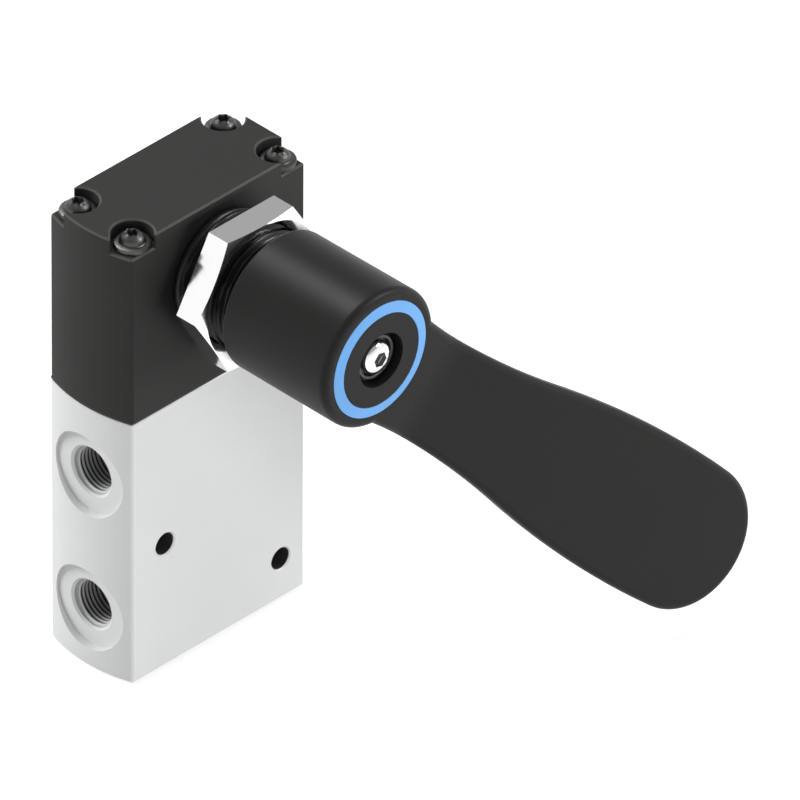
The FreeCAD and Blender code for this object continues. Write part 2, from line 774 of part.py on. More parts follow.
def blade_plan(body):
    """What is cut away round the blade, seen from the front: hollow waist, full belly, round tip."""
    rise = belly_half - waist_half
    span = belly_place - waist_place
    belly_curve = (span * span + rise * rise) / (rise * 2) - waist_radius
    waist_centre = waist_half + waist_radius
    belly_centre = belly_half - belly_curve
    reach = blade_length - belly_place
    tip_curve = (belly_curve * belly_curve - reach * reach - belly_centre * belly_centre) / (
        (belly_curve - reach) * 2
    )
    tip_centre = blade_length - tip_curve
    share = waist_radius / (waist_radius + belly_curve)
    join_x = waist_place + span * share
    join_y = waist_centre + (belly_centre - waist_centre) * share
    stretch = belly_curve / (belly_curve - tip_curve)
    tip_x = belly_place + (tip_centre - belly_place) * stretch
    tip_y = belly_centre - belly_centre * stretch
    root_y = waist_centre - root(waist_radius * waist_radius - waist_place * waist_place)
    sketch = add_sketch(body, "plan", "XY_Plane")
    trace(
        sketch,
        [
            (0, -root_y),
            (join_x, -join_y, waist_radius, -1),
            (tip_x, -tip_y, belly_curve, 1),
            (tip_x, tip_y, tip_curve, 1),
            (join_x, join_y, belly_curve, 1),
            (0, root_y, waist_radius, -1),
        ],
    )
    margin = blade_thickness * 3
    half = belly_half + margin
    return add_rectangle(sketch, -margin, blade_length + margin, -half, half)


def is_blade_rim(edge):
    """An edge where the blade's front or back meets its rounded sides."""
    box = edge.BoundBox
    across = abs(box.YMin + box.YMax) < 1e-4 and box.XLength < 1e-4
    return box.XMax > 1e-4 and box.YLength > 1e-4 and not across


def make_lever_handle():
    body = keep(new_body("lever_handle"))
    pad(body, "blade", blade_side(body), (belly_half + blade_thickness) * 2, both=True)
    pocket(body, "blade_outline", blade_plan(body), both=True)
    dress(body, "Fillet", "blade_edges", is_blade_rim, blade_round)
    turned(
        body,
        "hub",
        [
            (0, skirt_floor),
            (skirt_radius, skirt_floor),
            (skirt_radius, hub_back_out),
            (hub_back_radius - hub_back_round, hub_back_out),
            (hub_back_radius, hub_back_out + hub_back_round, hub_back_round, 1),
            (hub_radius, hub_front_out - hub_round),
            (hub_radius - hub_round, hub_front_out, hub_round, 1),
            (ring_outer, hub_front_out),
            (ring_inner, hub_face_out),
            (0, hub_face_out),
        ],
    )
    turned_cut(
        body,
        "ring_groove",
        [
            (ring_inner - ring_gap, hub_front_out - ring_depth),
            (ring_outer + ring_gap, hub_front_out - ring_depth),
            (ring_outer + ring_gap, hub_face_out + 1),
            (ring_inner - ring_gap, hub_face_out + 1),
        ],
    )
    turned_cut(
        body,
        "recess",
        [
            (0, recess_floor),
            (recess_radius, recess_floor),
            (recess_radius, hub_face_out + 1),
            (0, hub_face_out + 1),
        ],
    )
    turned_cut(
        body,
        "spindle_bore",
        [
            (0, skirt_floor - 1),
            (spindle_radius + run_gap, skirt_floor - 1),
            (spindle_radius + run_gap, socket_out + end_gap),
            (0, socket_out + end_gap),
        ],
    )
    sketch = add_square_hole(add_sketch(body, "socket", "XY_Plane", recess_floor + 1))
    pocket(body, "square_socket", sketch, recess_floor + 1 - socket_out)
    lay_forward(body, with_lever=True)


def ring_node(label, inner, outer, low, high, with_lever=False):
    """A plain ring about the spindle axis."""
    body = new_body(label)
    turned(body, "form", [(inner, low), (outer, low), (outer, high), (inner, high)])
    lay_forward(body, with_lever)
    return body


def make_lever_fittings():
    """The blue ring, sloped with the hub's face, and the screw and washer that hold the lever."""
    ring_back = hub_front_out - ring_depth
    ring = keep(new_body("indicator_ring"))
    turned(
        ring,
        "form",
        [
            (ring_inner, ring_back),
            (ring_outer, ring_back),
            (ring_outer, hub_front_out),
            (ring_inner, hub_face_out),
        ],
    )
    lay_forward(ring)
    washer_front = recess_floor + washer_thickness
    keep(ring_node("lever_washer", washer_hole, washer_radius, recess_floor, washer_front))
    screw = keep(new_body("lever_screw"))
    turned(
        screw,
        "form",
        [
            (0, spindle_front - clamp_grip),
            (clamp_shank, spindle_front - clamp_grip),
            (clamp_shank, washer_front),
            (clamp_head_radius, washer_front),
            (clamp_head_radius, washer_front + clamp_head_wall),
            (clamp_head_radius / 2, washer_front + clamp_head_wall + clamp_dome),
            (0, washer_front + clamp_head_wall + clamp_dome),
        ],
    )
    lay_forward(screw)


def add_square_hole(sketch):
    """The hole that slips over the spindle's square."""
    half = square_half + square_gap
    return add_rectangle(sketch, -half, half, -half, half)


def square_cut(body, name, front, length):
    """Flats that leave a square on the spindle, cut back from a plane."""
    sketch = add_sketch(body, name, "XY_Plane", front)
    add_rectangle(sketch, -square_half, square_half, -square_half, square_half)
    add_circle(sketch, 0, 0, collar_radius * 2)
    pocket(body, f"{name}_flats", sketch, length)


def make_spindle():
    body = keep(new_body("spindle"))
    collar_front = cavity_front - thrust_gap
    journal_end = journal_short - cavity_rear - rear_bush_length
    turned(
        body,
        "form",
        [
            (0, journal_end),
            (journal_radius, journal_end),
            (journal_radius, clip_rear),
            (clip_groove, clip_rear),
            (clip_groove, clip_front),
            (spindle_radius, clip_front),
            (spindle_radius, cam_front),
            (collar_radius, cam_front),
            (collar_radius, collar_front),
            (spindle_radius, collar_front),
            (spindle_radius, spindle_front),
            (0, spindle_front),
        ],
    )
    square_cut(body, "cam_seat", cam_front, cam_front - clip_front)
    square_cut(body, "drive", spindle_front, spindle_front - socket_out)
    sketch = add_sketch(body, "tapped", "XY_Plane", spindle_front)
    add_circle(sketch, 0, 0, clamp_shank + thread_gap)
    pocket(body, "tapped_hole", sketch, clamp_grip + end_gap)
    lay_forward(body, with_lever=True)


def make_spindle_bearings():
    inner = spindle_radius + run_gap
    outer = bush_radius - seat_gap
    seal_rear = cavity_front + rear_sleeve
    seal_front = seal_rear + seal_ring
    sleeves = [
        ring_node("inner_sleeve", inner, outer, cavity_front, seal_rear),
        ring_node("outer_sleeve", inner, outer, seal_front, seal_front + front_sleeve),
    ]
    group("spindle_bushes", sleeves)
    keep(ring_node("spindle_seal", inner, outer, seal_rear, seal_front))
    journal = journal_radius + run_gap
    rear = -cavity_rear - rear_bush_length
    keep(ring_node("rear_bush", journal, rear_bush_radius, rear, -cavity_rear))


def make_cam():
    """Eccentric disc, thrown out at a right angle to the lever."""
    body = keep(new_body("cam"))
    sketch = add_sketch(body, "outline", "XY_Plane", cam_rear)
    add_circle(sketch, 0, cam_throw, cam_radius)
    add_square_hole(sketch)
    pad(body, "disc", sketch, cam_thickness)
    lay_forward(body, with_lever=True)


def make_detent_disc():
    body = keep(new_body("detent_disc"))
    sketch = add_sketch(body, "outline", "XY_Plane", detent_rear)
    add_circle(sketch, 0, 0, detent_radius)
    add_square_hole(sketch)
    pad(body, "disc", sketch, detent_thickness)
    sketch = add_sketch(body, "notches", "XY_Plane", detent_rear)
    far = detent_radius + notch_radius - notch_depth
    across = far * cosine(lever_turn_rest)
    back = -(far * sine(lever_turn_rest))
    add_circle(sketch, back, across, notch_radius)
    add_circle(sketch, back, -across, notch_radius)
    pocket(body, "rim_notches", sketch, both=True)
    lay_forward(body, with_lever=True)


def make_spindle_clip():
    inner = clip_groove + seat_gap
    body = keep(ring_node("spindle_clip", inner, clip_radius, clip_rear, clip_front, True))
    sketch = add_sketch(body, "mouth", "XY_Plane", clip_front)
    half = clip_mouth / 2
    add_rectangle(sketch, -half, half, -clip_radius * 2, 0)
    pocket(body, "opening", sketch)


def coil(body, wire, radius, pitch, low, high):
    """A compression spring of square wire between two heights."""
    sketch = add_sketch(body, "wire", "XZ_Plane")
    half = wire / 2
    add_rectangle(sketch, radius - half, radius + half, low, low + wire)
    helix = body.newObject("PartDesign::AdditiveHelix", f"{body.Name}_coil")
    helix.Profile = sketch
    helix.ReferenceAxis = (sketch, ["V_Axis"])
    helix.Mode = 0
    rise = high - low - wire
    helix.Pitch = pitch.value
    helix.Height = rise.value
    helix.setExpression("Pitch", pitch.text)
    helix.setExpression("Height", rise.text)
    sketch.Visibility = False
    doc.recompute()


def make_detent():
    ball = keep(doc.addObject("Part::Sphere", "detent_ball"))
    ball.Label = "detent_ball"
    ball.setExpression("Radius", ball_radius.text)
    raise_to(ball, ball_height)
    spring = keep(new_body("detent_spring"))
    low = ball_height + ball_radius + end_gap
    high = low + ball_spring_length
    coil(spring, ball_spring_wire, ball_spring_radius, ball_spring_pitch, low, high)
    for item in (ball, spring):
        item.setExpression(".Placement.Base.y", (-ball_out).text)


def make_tappet():
    body = keep(new_body("tappet"))
    under = tappet_top - tappet_head
    bevel = tappet_head / 4
    turned(
        body,
        "form",
        [
            (0, spool_top),
            (spool_radius, spool_top),
            (spool_radius, under),
            (tappet_head_radius, under),
            (tappet_head_radius, tappet_top - bevel),
            (tappet_head_radius - bevel, tappet_top),
            (0, tappet_top),
        ],
    )


def make_guide_bush():
    body = keep(new_body("guide_bush"))
    turned(
        body,
        "form",
        [
            (slide_radius, stack_top),
            (seat_radius, stack_top),
            (seat_radius, spool_top),
            (bush_flange_radius, spool_top),
            (bush_flange_radius, body_height),
            (slide_radius, body_height),
        ],
    )


def make_spool():
    body = keep(new_body("spool"))
    lower_land = seal_heights[1] + seal_half + overlap
    upper_land = seal_heights[2] - seal_half + travel - end_gap * 2
    pocket_top = spool_bottom + spring_pocket
    inside = spring_radius + spring_wire / 2 + run_gap * 4
    turned(
        body,
        "form",
        [
            (0, pocket_top),
            (inside, pocket_top),
            (inside, spool_bottom),
            (spool_radius, spool_bottom),
            (spool_radius, lower_land),
            (spool_waist, lower_land),
            (spool_waist, upper_land),
            (spool_radius, upper_land),
            (spool_radius, spool_top),
            (0, spool_top),
        ],
    )


def make_spool_stack():
    """Four seals that the spool slides in, held apart by three windowed spacers."""
    seals = []
    for number, height in enumerate(seal_heights):
        seal = new_body(f"spool_seal_{number + 1}")
        low, high = height - seal_half, height + seal_half
        turned(
            seal,
            "form",
            [(slide_radius, low), (seat_radius, low), (seat_radius, high), (slide_radius, high)],
        )
        seals.append(seal)
    group("spool_seals", seals)
    spacers = []
    for number in range(3):
        low = seal_heights[number] + seal_half
        high = seal_heights[number + 1] - seal_half
        spacers.append(make_spacer(number, low, high, port_low + port_pitch * number))
    group("seal_spacers", spacers)


def make_spacer(number, low, high, port):
    body = new_body(f"seal_spacer_{number + 1}")
    inner = slide_radius + run_gap * 6
    groove = inner + spacer_wall
    half = spacer_groove / 2
    turned(
        body,
        "form",
        [
            (inner, low),
            (seat_radius, low),
            (seat_radius, port - half),
            (groove, port - half),
            (groove, port + half),
            (seat_radius, port + half),
            (seat_radius, high),
            (inner, high),
        ],
    )
    for plane in ("XZ_Plane", "YZ_Plane"):
        sketch = add_sketch(body, f"window_{plane[:2]}", plane)
        add_rectangle(sketch, -window_half, window_half, port - window_half, port + window_half)
        pocket(body, f"windows_{plane[:2]}", sketch, both=True)
    return body


def make_return_springs():
    """One spring under the spool and one round the tappet's stem."""
    low = bore_floor + end_gap
    high = spool_bottom + spring_pocket - end_gap
    coil(keep(new_body("spool_spring")), spring_wire, spring_radius, spring_pitch, low, high)
    low = body_height + end_gap
    high = tappet_top - tappet_head - end_gap
    spring = keep(new_body("tappet_spring"))
    coil(spring, tappet_wire, tappet_coil_radius, tappet_pitch, low, high)


make_valve_body()
make_gasket()
make_housing()
make_housing_screws()
make_panel_neck()
make_panel_nut()
make_lever_handle()
make_lever_fittings()
make_spindle()
make_spindle_bearings()
make_cam()
make_detent_disc()
make_spindle_clip()
make_detent()
make_tappet()
make_guide_bush()
make_spool()
make_spool_stack()
make_return_springs()
doc.recompute()

for item in doc.Objects:
    if "Invalid" in item.State or "Error" in item.State:
        raise RuntimeError(f"{item.Label} failed: {item.State}")
for node in nodes:
    if node.Shape.isNull() or not node.Shape.isValid():
        raise RuntimeError(f"{node.Label} has no valid shape")

os.makedirs("parts", exist_ok=True)
for node in nodes:
    node.Shape.exportStep(f"parts/{node.Label}.step")
    print(f"{node.Label}: {len(node.Shape.Solids)} solid, {node.Shape.Volume:.1f} mm3")
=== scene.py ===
import json
import math
from functools import partial

import bmesh
import bpy
from mathutils import Matrix, Vector


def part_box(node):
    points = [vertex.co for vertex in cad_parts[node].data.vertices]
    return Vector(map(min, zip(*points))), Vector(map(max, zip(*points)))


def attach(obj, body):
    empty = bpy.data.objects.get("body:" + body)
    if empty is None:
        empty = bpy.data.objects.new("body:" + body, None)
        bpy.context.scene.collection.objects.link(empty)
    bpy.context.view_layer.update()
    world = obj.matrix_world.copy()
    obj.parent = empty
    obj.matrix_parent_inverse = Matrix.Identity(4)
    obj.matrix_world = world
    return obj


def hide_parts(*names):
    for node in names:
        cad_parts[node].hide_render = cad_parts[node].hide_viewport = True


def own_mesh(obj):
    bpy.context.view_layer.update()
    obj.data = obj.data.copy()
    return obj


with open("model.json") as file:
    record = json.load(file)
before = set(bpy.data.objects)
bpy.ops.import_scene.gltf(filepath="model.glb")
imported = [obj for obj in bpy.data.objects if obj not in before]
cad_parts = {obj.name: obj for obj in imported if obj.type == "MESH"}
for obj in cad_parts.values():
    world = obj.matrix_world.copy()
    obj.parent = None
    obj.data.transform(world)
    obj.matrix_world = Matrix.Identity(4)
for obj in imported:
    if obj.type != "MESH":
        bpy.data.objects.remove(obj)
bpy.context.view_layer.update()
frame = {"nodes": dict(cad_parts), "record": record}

MM = 0.001
TAU = math.tau
neck_low, neck_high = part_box("panel_neck")
screws_low, screws_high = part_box("housing_screws")
AXIS_HEIGHT = (neck_low.z + neck_high.z) / 2
FACE = -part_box("valve_body")[0].y  # front face to the middle of the valve
NECK_END = -neck_low.y


# Materials

# painted shade: colours mixed into the insides of bores and ports and into their thread grooves
HOLE_SHADE_COLOUR = (0.075, 0.075, 0.076)
GROOVE_SHADE_COLOUR = (0.035, 0.035, 0.036)
CREST_SHADE = (0.0, 0.6)  # how much painted shade a port's thread crests get at the mouth and deep inside
MOUTH_SHADE = 0.3  # how much of its painted shade a port's wall has before the first turn
MOUTH_DEPTHS = (0.5 * MM, 1.4 * MM)  # depths between which that wall's painted shade comes in
GROOVE_DEPTHS = (0.46 * MM, 0.16 * MM)  # in from a port's wall, where the grooves' painted shade starts and is full
PASSAGE_LENGTH = 6.0 * MM  # how far behind its thread a port's passage gets painted shade
WALL_MARGIN = 0.02 * MM  # so that a hole's own wall counts as inside it
BEVEL_HIGHLIGHT_COLOUR = (0.085, 0.083, 0.081)  # painted highlight on a moulded housing's bevels, a little paler than its faces
BEVEL_HIGHLIGHT_SLOPES = (0.4, 0.6, 0.85, 0.95)  # upward part of the normal where the painted highlight comes in and goes out
NOISE_RANGE = (0.3, 0.7)  # where most of a noise's values lie
MIX_FIRST, MIX_SECOND, MIX_RESULT = 6, 7, 2  # a Mix node's sockets for colours


def new_material(name, colour, roughness, metallic=0.0, **sockets):
    """A Principled material. Keyword names are socket names with underscores for spaces."""
    material = bpy.data.materials.new(name)
    material.use_nodes = True
    shader = material.node_tree.nodes["Principled BSDF"]
    shader.inputs["Base Color"].default_value = (*colour, 1.0)
    shader.inputs["Roughness"].default_value = roughness
    shader.inputs["Metallic"].default_value = metallic
    for key, value in sockets.items():
        shader.inputs[key.replace("_", " ")].default_value = value
    return material


def add_node(material, kind, **settings):
    """A node. Each setting is one of its properties or one of its inputs."""
    node = material.node_tree.nodes.new(kind)
    for key, value in settings.items():
        if hasattr(node, key):
            setattr(node, key, value)
        else:
            node.inputs[key.replace("_", " ")].default_value = value
    return node


def link(material, start, end):
    material.node_tree.links.new(start, end)


def surface_point(material, stretch=(1.0, 1.0, 1.0)):
    """Object coordinates, stretched so that the pattern can run along one direction."""
    place = add_node(material, "ShaderNodeTexCoord")
    mapping = add_node(material, "ShaderNodeMapping")
    mapping.inputs["Scale"].default_value = stretch
    link(material, place.outputs["Object"], mapping.inputs["Vector"])
    return mapping.outputs["Vector"]


def add_noise(material, point, scale, detail=3.0, roughness=0.5):
    noise = add_node(material, "ShaderNodeTexNoise", Scale=scale, Detail=detail)
    noise.inputs["Roughness"].default_value = roughness
    link(material, point, noise.inputs["Vector"])
    return noise.outputs["Fac"]


def vary(material, socket, factor, low, high):
    """Drives a socket between two values with a pattern."""
    shader = material.node_tree.nodes["Principled BSDF"]
    if isinstance(low, tuple):
        mix = add_node(material, "ShaderNodeMix", data_type="RGBA")
        mix.inputs[MIX_FIRST].default_value = (*low, 1.0)
        mix.inputs[MIX_SECOND].default_value = (*high, 1.0)
        link(material, factor, mix.inputs[0])
        link(material, mix.outputs[MIX_RESULT], shader.inputs[socket])
        return
    value = map_range(material, factor, *NOISE_RANGE, low, high)
    link(material, value, shader.inputs[socket])


def add_bump(material, factor, distance, strength=0.3):
    shader = material.node_tree.nodes["Principled BSDF"]
    bump = add_node(material, "ShaderNodeBump", Strength=strength, Distance=distance)
    earlier = shader.inputs["Normal"].links
    if earlier:
        link(material, earlier[0].from_socket, bump.inputs["Normal"])
    link(material, factor, bump.inputs["Height"])
    link(material, bump.outputs["Normal"], shader.inputs["Normal"])


def tint(colour, amount):
    return tuple(min(1.0, channel * amount) for channel in colour)


def math_node(material, operation, first, second):
    """A Math node. Each operand is a socket or a number."""
    node = add_node(material, "ShaderNodeMath", operation=operation)
    for number, value in enumerate((first, second)):
        if isinstance(value, (int, float)):
            node.inputs[number].default_value = value
        else:
            link(material, value, node.inputs[number])
    return node.outputs[0]


def map_range(material, value, low, high, to_low=0.0, to_high=1.0):
    """A socket that follows a value in one range through another, and stops at its ends."""
    node = add_node(material, "ShaderNodeMapRange")
    node.inputs["From Min"].default_value = low
    node.inputs["From Max"].default_value = high
    node.inputs["To Min"].default_value = to_low
    node.inputs["To Max"].default_value = to_high
    link(material, value, node.inputs["Value"])
    return node.outputs["Result"]


def from_axis(material, start, axis):
    """Sockets with a point's distance from a line, and its place along it."""
    place = add_node(material, "ShaderNodeTexCoord")
    shift = add_node(material, "ShaderNodeVectorMath", operation="SUBTRACT")
    shift.inputs[1].default_value = start
    link(material, place.outputs["Object"], shift.inputs[0])
    flat = add_node(material, "ShaderNodeVectorMath", operation="MULTIPLY")
    flat.inputs[1].default_value = [1.0 - abs(part) for part in axis]
    link(material, shift.outputs[0], flat.inputs[0])
    away = add_node(material, "ShaderNodeVectorMath", operation="LENGTH")
    link(material, flat.outputs[0], away.inputs[0])
    along = add_node(material, "ShaderNodeVectorMath", operation="DOT_PRODUCT")
    along.inputs[1].default_value = axis
    link(material, shift.outputs[0], along.inputs[0])
    return away.outputs["Value"], along.outputs["Value"]


def darken(material, amount, colour):
    """Mixes the base colour towards a colour by an amount from 0 to 1."""
    shader = material.node_tree.nodes["Principled BSDF"]
    mix = add_node(material, "ShaderNodeMix", data_type="RGBA")
    mix.inputs[MIX_FIRST].default_value = shader.inputs["Base Color"].default_value
    mix.inputs[MIX_SECOND].default_value = (*colour, 1.0)
    if shader.inputs["Base Color"].links:
        earlier = shader.inputs["Base Color"].links[0].from_socket
        link(material, earlier, mix.inputs[MIX_FIRST])
    link(material, amount, mix.inputs[0])
    link(material, mix.outputs[MIX_RESULT], shader.inputs["Base Color"])


def paint_shade_in_holes(material):
    """Paints shade into the insides of the mounting holes and ports, where little light reaches,
    and less of it on a thread's crests.
    """
    for mount in frame["record"]["mounts"]:
        if mount["kind"] not in ("bore", "threaded_hole"):
            continue
        radius = mount["dims"]["r_mm"] * MM
        half = mount["dims"]["length_mm"] / 2 * MM
        away, along = from_axis(material, mount["pos_m"], mount["axis"])
        inside = math_node(material, "LESS_THAN", away, radius + WALL_MARGIN)
        if mount["kind"] == "bore":
            darken(material, inside, HOLE_SHADE_COLOUR)
            continue
        groove_start, groove_end = (radius - depth for depth in GROOVE_DEPTHS)
        groove = map_range(material, away, groove_start, groove_end)
        deep = map_range(material, along, half, -half, *CREST_SHADE)
        shallow, full = (half - depth for depth in MOUTH_DEPTHS)
        mouth = map_range(material, along, shallow, full, MOUTH_SHADE)
        shade_here = math_node(material, "MAXIMUM", groove, deep)
        shade_here = math_node(material, "MULTIPLY", shade_here, mouth)
        own_side = math_node(material, "GREATER_THAN", along, -half - PASSAGE_LENGTH)
        inside = math_node(material, "MULTIPLY", inside, own_side)
        darken(material, math_node(material, "MULTIPLY", inside, shade_here), GROOVE_SHADE_COLOUR)


def paint_bevel_highlights(material):
    """Paints a highlight, the paler colour, on the bevels round the top, which slope at about 45
    degrees.
    """
    from_low, from_full, to_full, to_high = BEVEL_HIGHLIGHT_SLOPES
    surface = add_node(material, "ShaderNodeNewGeometry")
    parts = add_node(material, "ShaderNodeSeparateXYZ")
    link(material, surface.outputs["True Normal"], parts.inputs[0])
    from_side = map_range(material, parts.outputs["Z"], from_low, from_full)
    from_top = map_range(material, parts.outputs["Z"], to_high, to_full)
    darken(material, math_node(material, "MULTIPLY", from_side, from_top), BEVEL_HIGHLIGHT_COLOUR)


def anodised(name, colour, roughness, metallic=0.85):
    """Satin anodised aluminium: fine etched grain and faint cloudiness."""
    material = new_material(name, colour, roughness, metallic)
    point = surface_point(material)
    cloud = add_noise(material, point, 90.0, 4.0)
    grain = add_noise(material, point, 4200.0, 2.0)
    vary(material, "Base Color", cloud, tint(colour, 0.975), tint(colour, 1.02))
    vary(material, "Roughness", grain, roughness * 0.92, roughness * 1.1)
    add_bump(material, grain, 0.000012)
    return material


def moulded(name, colour, roughness, level=0.5):
    """Moulded plastic with a fine spark-eroded skin. The level is its mirror reflection's."""
    material = new_material(name, colour, roughness, Specular_IOR_Level=level)
    point = surface_point(material)
    skin = add_noise(material, point, 3600.0, 3.0, 0.6)
    cloud = add_noise(material, point, 60.0, 3.0)
    vary(material, "Base Color", cloud, tint(colour, 0.92), tint(colour, 1.08))
    vary(material, "Roughness", cloud, roughness * 0.95, roughness * 1.05)
    add_bump(material, skin, 0.000015, 0.25)
    return material


def turned_metal(name, colour, roughness, stretch=(1.0, 1.0, 1.0)):
    """Machined or drawn metal: fine lines along one direction."""
    material = new_material(name, colour, roughness, metallic=1.0)
    lines = add_noise(material, surface_point(material, stretch), 900.0, 4.0, 0.7)
    cloud = add_noise(material, surface_point(material), 120.0, 3.0)
    vary(material, "Base Color", cloud, tint(colour, 0.95), tint(colour, 1.04))
    vary(material, "Roughness", lines, roughness * 0.85, roughness * 1.2)
    add_bump(material, lines, 0.00001, 0.2)
    return material


def plated(name, colour, roughness):
    """Bright plating with the faintest orange peel."""
    material = new_material(name, colour, roughness, metallic=1.0)
    point = surface_point(material)
    peel = add_noise(material, point, 700.0, 2.0)
    vary(material, "Roughness", peel, roughness * 0.8, roughness * 1.3)
    add_bump(material, peel, 0.000006, 0.15)
    return material


def soft(name, colour, roughness):
    """Rubber: matt, slightly mottled."""
    material = new_material(name, colour, roughness)
    mottle = add_noise(material, surface_point(material), 1500.0, 4.0, 0.6)
    vary(material, "Base Color", mottle, tint(colour, 0.85), tint(colour, 1.15))
    add_bump(material, mottle, 0.00002, 0.3)
    return material


ALONG_Y = (1.0, 0.08, 1.0)  # stretch that draws a pattern out along the spindle
finishes = {
    "natural_aluminium": anodised("natural_aluminium", (0.78, 0.785, 0.79), 0.5, 0.15),
    "spool_aluminium": anodised("spool_aluminium", (0.72, 0.72, 0.73), 0.25),
    "black_housing": moulded("black_housing", (0.036, 0.0352, 0.0342), 0.6, 0.12),
    "black_lever": moulded("black_lever", (0.0185, 0.0181, 0.0176), 0.42, 0.12),
    "black_neck": moulded("black_neck", (0.009, 0.009, 0.0092), 0.34, 0.3),
    "blue_plastic": moulded("blue_plastic", (0.145, 0.4, 0.82), 0.36),
    "white_acetal": moulded("white_acetal", (0.82, 0.81, 0.77), 0.40),
    "bright_nut": plated("bright_nut", (0.98, 0.98, 0.98), 0.1),
    "bright_steel": plated("bright_steel", (0.88, 0.88, 0.885), 0.14),
    "dark_steel": turned_metal("dark_steel", (0.105, 0.103, 0.101), 0.42),
    "machined_steel": turned_metal("machined_steel", (0.60, 0.60, 0.61), 0.28, ALONG_Y),
    "spring_steel": turned_metal("spring_steel", (0.55, 0.55, 0.57), 0.25),
    "bush_bronze": turned_metal("bush_bronze", (0.62, 0.43, 0.24), 0.45, ALONG_Y),
    "seal_rubber": soft("seal_rubber", (0.02, 0.02, 0.02), 0.6),
    "gasket_rubber": soft("gasket_rubber", (0.022, 0.022, 0.021), 0.65),
}


# painted shade in the holes and ports of the valve body
paint_shade_in_holes(finishes["natural_aluminium"])
# painted highlight on the housing's upward-sloping bevels
paint_bevel_highlights(finishes["black_housing"])


def dress_nodes():
    """Gives every node the finish of its slot in the record."""
    for part in frame["record"]["subparts"]:
        node = frame["nodes"][part["node"]]
        node.data.materials.clear()
        node.data.materials.append(finishes[part["material_slot"]])


# Meshes


def finish_piece(name, mesh_data, body, slot_name, replaced=(), smooth_angle=40.0):
    """Turns a bmesh into a piece that rides on a body."""
    bmesh.ops.remove_doubles(mesh_data, verts=mesh_data.verts, dist=1e-8)
    bmesh.ops.recalc_face_normals(mesh_data, faces=mesh_data.faces)
    mesh = bpy.data.meshes.new(name)
    mesh_data.to_mesh(mesh)
    mesh_data.free()
    mesh.materials.append(finishes[slot_name])
    piece = bpy.data.objects.new(name, mesh)
    bpy.context.scene.collection.objects.link(piece)
    shade(piece, smooth_angle)
    if replaced:
        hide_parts(*replaced)
    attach(piece, body)
    return piece


def shade(piece, angle):
    """Smooth shading that stays sharp where two faces meet at more than the angle."""
    mesh = piece.data
    mesh.polygons.foreach_set("use_smooth", [True] * len(mesh.polygons))
    mesh.set_sharp_from_angle(angle=math.radians(angle))


def bridge(mesh_data, rings, hollow=False):
    """Faces between rings of as many points each. A solid gets a face over each end, and a
    hollow piece has its last ring joined to its first."""
    rows = [[mesh_data.verts.new(point) for point in ring] for ring in rings]
    for low, high in zip(rows, rows[1:]):
        join_rows(mesh_data, low, high)
    if hollow:
        join_rows(mesh_data, rows[0], rows[-1])
    else:
        mesh_data.faces.new(rows[0])
        mesh_data.faces.new(rows[-1])


def join_rows(mesh_data, low, high):
    """Faces between two rings of vertices."""
    for number in range(len(low)):
        after = (number + 1) % len(low)
        mesh_data.faces.new((low[number], low[after], high[after], high[number]))


def make_ring(columns, place, reach_at, height_at):
    """Points about a local z axis, with a radius and a height for each direction."""
    ring = []
    for number in range(columns):
        angle = TAU * number / columns
        reach = reach_at(angle)
        height = height_at(angle)
        ring.append(place @ Vector((reach * math.cos(angle), reach * math.sin(angle), height)))
    return ring


def level_ring(columns, place, radius, height):
    """A ring at one height. The radius is a length, or gives a length for each direction."""
    reach_at = radius if callable(radius) else lambda angle: radius
    return make_ring(columns, place, reach_at, lambda angle: height)


def lathe_rings(profile, columns, place):
    """A level ring for each (radius, height) row of a profile."""
    return [level_ring(columns, place, radius, height) for radius, height in profile]


def forward_axis():
    """Local z runs out of the panel along the spindle, from the middle of the valve."""
    return Matrix.Translation((0, 0, AXIS_HEIGHT)) @ Matrix.Rotation(math.radians(90), 4, "X")


def sweep_helix(mesh_data, place, radius, pitch, start, turns, section):
    """A helical solid. The section holds (outward, along) points about the path, and shrinks
    to almost nothing over the last part of a turn at either end."""
    columns, taper, least = 48, 0.8, 0.02
    steps = max(2, int(round(turns * columns)))
    rings = []
    for step in range(steps + 1):
        turn = turns * step / steps
        angle = TAU * turn
        grow = min(1.0, max(least, turn / taper), max(least, (turns - turn) / taper))
        ring = []
        for out, along in section:
            reach = radius + out * grow
            height = start + pitch * turn + along * grow
            ring.append(place @ Vector((reach * math.cos(angle), reach * math.sin(angle), height)))
        rings.append(ring)
    bridge(mesh_data, rings)


# Threads and nut

PORT_BEVEL = 0.45 * MM  # at a port's mouth, in front of the length that the record gives
PORT_PITCH = 0.907 * MM
NECK_RADIUS = 12.0 * MM
NECK_PITCH = 1.5 * MM


def make_port_threads():
    """Thread ridges that stand in from the wall of each port."""
    ridge, crest, buried, bare_end = 0.50 * MM, 0.11 * MM, 0.06 * MM, 0.5 * MM
    foot = PORT_PITCH * 0.46
    section = [(buried, -foot), (-ridge, -crest), (-ridge, crest), (buried, foot)]
    mesh_data = bmesh.new()
    for mount in frame["record"]["mounts"]:
        if mount["kind"] != "threaded_hole":
            continue
        wall, length = (mount["dims"][name] * MM for name in ("r_mm", "length_mm"))
        outward = Vector(mount["axis"])
        bottom = Vector(mount["pos_m"]) - outward * length / 2
        spin = Matrix.Rotation(math.radians(90 * outward.x), 4, "Y")
        place = Matrix.Translation(bottom) @ spin
        turns = (length + PORT_BEVEL - bare_end * 2) / PORT_PITCH
        sweep_helix(mesh_data, place, wall, PORT_PITCH, bare_end, turns, section)
    finish_piece("port_threads", mesh_data, "valve", "natural_aluminium", smooth_angle=25)


